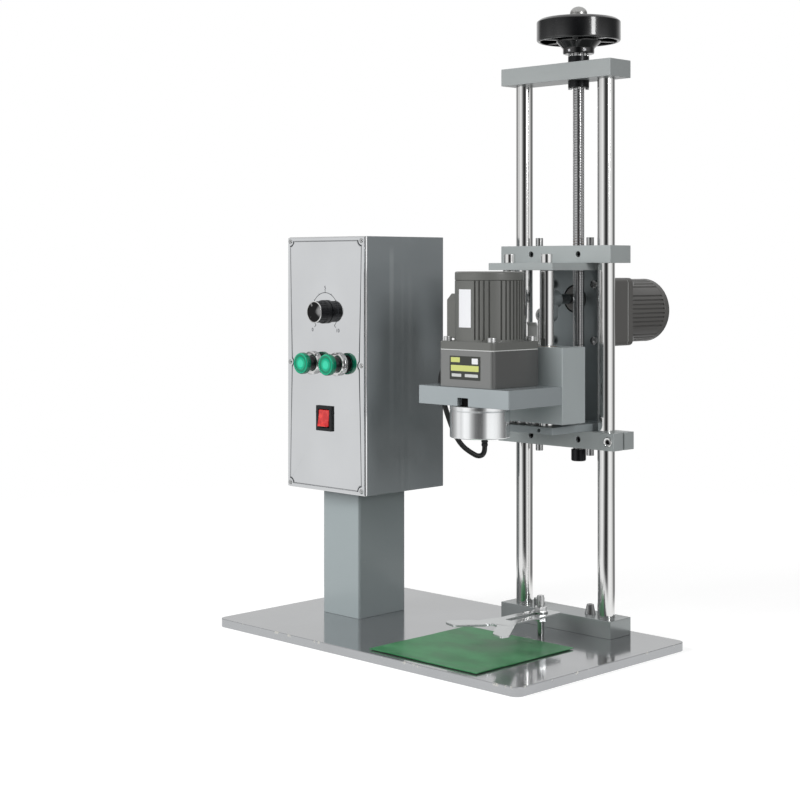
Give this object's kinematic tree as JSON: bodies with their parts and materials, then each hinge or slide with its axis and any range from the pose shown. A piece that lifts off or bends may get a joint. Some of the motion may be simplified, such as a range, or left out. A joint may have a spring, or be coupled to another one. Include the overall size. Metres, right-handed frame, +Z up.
{
  "type": "jar capping machine",
  "caption": "Bench capping machine: control box on a post, and a rod frame with a screw-raised carriage, crank-lifted motor head, turning cup and jar locating fork.",
  "frame": {"origin": "centre of the base plate's underside", "axes": "+Z up, +X to the right along the base plate's long front edge, +Y to the back"},
  "size_m": [0.47, 0.411, 0.731],
  "materials": {
    "grey_paint": "glossy grey paint",
    "box_paint": "satin grey paint",
    "bar_paint": "satin light grey paint",
    "motor_paint": "dark grey satin paint",
    "brushed_panel": "vertical brushed steel",
    "chromed_rod": "hard chromed and ground",
    "polished_aluminium": "turned and polished",
    "black_steel": "blackened",
    "bright_steel": "bright plated",
    "dark_screw": "oiled steel thread",
    "sheet_steel": "satin stainless sheet",
    "bronze": "turned bronze",
    "green_mat": "matt green rubber",
    "rubber": "matt black",
    "black_plastic": "glossy black moulding",
    "matt_black": "matt black moulding",
    "green_lens": "clear green moulding",
    "red_rocker": "glossy red moulding",
    "board": "circuit board",
    "collar_black": "dark stained steel"
  },
  "bodies": {
    "frame": {"base_plate": "grey_paint", "jar_mat": "green_mat", "foot_bar": "bar_paint", "top_bar": "bar_paint", "main_rods": "chromed_rod", "frame_bolts": "black_steel", "screw_flanges": "black_steel", "flange_bolts": "bright_steel", "box_post": "grey_paint", "post_screws": "black_steel", "control_box": "box_paint", "front_panel": "brushed_panel", "panel_screws": "bright_steel", "drive_board": "board", "speed_control": "matt_black", "button_bodies": "bright_steel", "switch_housing": "black_plastic", "positioner_stud": "bright_steel"},
    "speed_dial": {"speed_knob": "matt_black", "speed_shaft": "bright_steel"},
    "start_push": {"start_button": "green_lens"},
    "stop_push": {"stop_button": "green_lens"},
    "power_rocker": {"power_rocker": "red_rocker"},
    "fork_clamp": {"clamp_nut": "bright_steel"},
    "jar_fork": {"positioner_fork": "sheet_steel"},
    "handwheel": {"handwheel": "black_plastic", "lead_screw": "dark_screw", "dome_nut": "bright_steel", "stop_collar": "collar_black"},
    "carriage": {"lower_carriage_bar": "bar_paint", "upper_carriage_bar": "bar_paint", "back_plate": "bar_paint", "bottom_plate": "bar_paint", "top_plate": "bar_paint", "guide_rods": "chromed_rod", "guide_rod_screws": "black_steel", "lead_nut": "bronze", "stop_buttons": "rubber", "carriage_screws": "black_steel", "lift_gearhead": "motor_paint", "lift_motor_body": "motor_paint", "lift_motor_cap": "motor_paint", "lift_motor_screws": "bright_steel"},
    "head": {"head_block": "bar_paint", "head_bushes": "bronze", "motor_table": "bar_paint", "table_bolts": "black_steel", "drive_gearhead": "motor_paint", "drive_motor_body": "motor_paint", "drive_motor_cap": "motor_paint", "drive_motor_screws": "bright_steel", "cable_gland": "sheet_steel", "motor_cable": "rubber"},
    "crank": {"lift_shaft": "black_steel", "crank_arm": "bright_steel"},
    "link": {"connecting_rod": "sheet_steel", "link_bolt": "bright_steel"},
    "capping_cup": {"capping_cup": "polished_aluminium", "cup_liner": "rubber", "drive_shaft": "bright_steel"}
  },
  "joints": [
    {"name": "speed_turn", "type": "hinge", "parent": "frame", "child": "speed_dial", "pos_m": [-0.1405, -0.05855, 0.376], "axis": [0, 1, 0], "range_deg": [0, 270]},
    {"name": "start_press", "type": "slide", "parent": "frame", "child": "start_push", "axis": [0, 1, 0], "range_m": [0, 0.003], "stiffness_N_per_m": 800, "springref_m": -0.002},
    {"name": "stop_press", "type": "slide", "parent": "frame", "child": "stop_push", "axis": [0, 1, 0], "range_m": [0, 0.003], "stiffness_N_per_m": 800, "springref_m": -0.002},
    {"name": "rocker_tip", "type": "hinge", "parent": "frame", "child": "power_rocker", "pos_m": [-0.1405, -0.05955, 0.249], "axis": [1, 0, 0], "range_deg": [0, 14]},
    {"name": "fork_swivel", "type": "hinge", "parent": "frame", "child": "fork_clamp", "pos_m": [0.107, 0.0445, 0.037], "axis": [0, 0, 1], "range_deg": [-30, 30]},
    {"name": "fork_slide", "type": "slide", "parent": "fork_clamp", "child": "jar_fork", "axis": [0, 1, 0], "range_m": [0, 0.035]},
    {"name": "carriage_slide", "type": "slide", "parent": "frame", "child": "carriage", "axis": [0, 0, 1], "range_m": [0, 0.17]},
    {"name": "handwheel_spin", "type": "hinge", "parent": "frame", "child": "handwheel", "pos_m": [0.1095, 0.11, 0.7], "axis": [0, 0, 1], "range_deg": [-10, 20410]},
    {"name": "head_slide", "type": "slide", "parent": "carriage", "child": "head", "axis": [0, 0, 1], "range_m": [0, 0.036]},
    {"name": "crank_spin", "type": "hinge", "parent": "carriage", "child": "crank", "pos_m": [0.0885, 0.11, 0.392], "axis": [0, 1, 0], "range_deg": [-5, 185]},
    {"name": "link_swing", "type": "hinge", "parent": "crank", "child": "link", "pos_m": [0.0885, 0.0735, 0.374], "axis": [0, 1, 0], "range_deg": [-185, 5]},
    {"name": "cup_spin", "type": "hinge", "parent": "head", "child": "capping_cup", "pos_m": [0.0885, -0.0375, 0.26], "axis": [0, 0, 1], "continuous": true}
  ],
  "couplings": [
    {"joint": "handwheel_spin", "follows": "carriage_slide", "rad_per_m": 2094.4},
    {"joint": "crank_spin", "follows": "head_slide", "rad_per_m": 87.266},
    {"joint": "link_swing", "follows": "head_slide", "rad_per_m": -87.266}
  ]
}
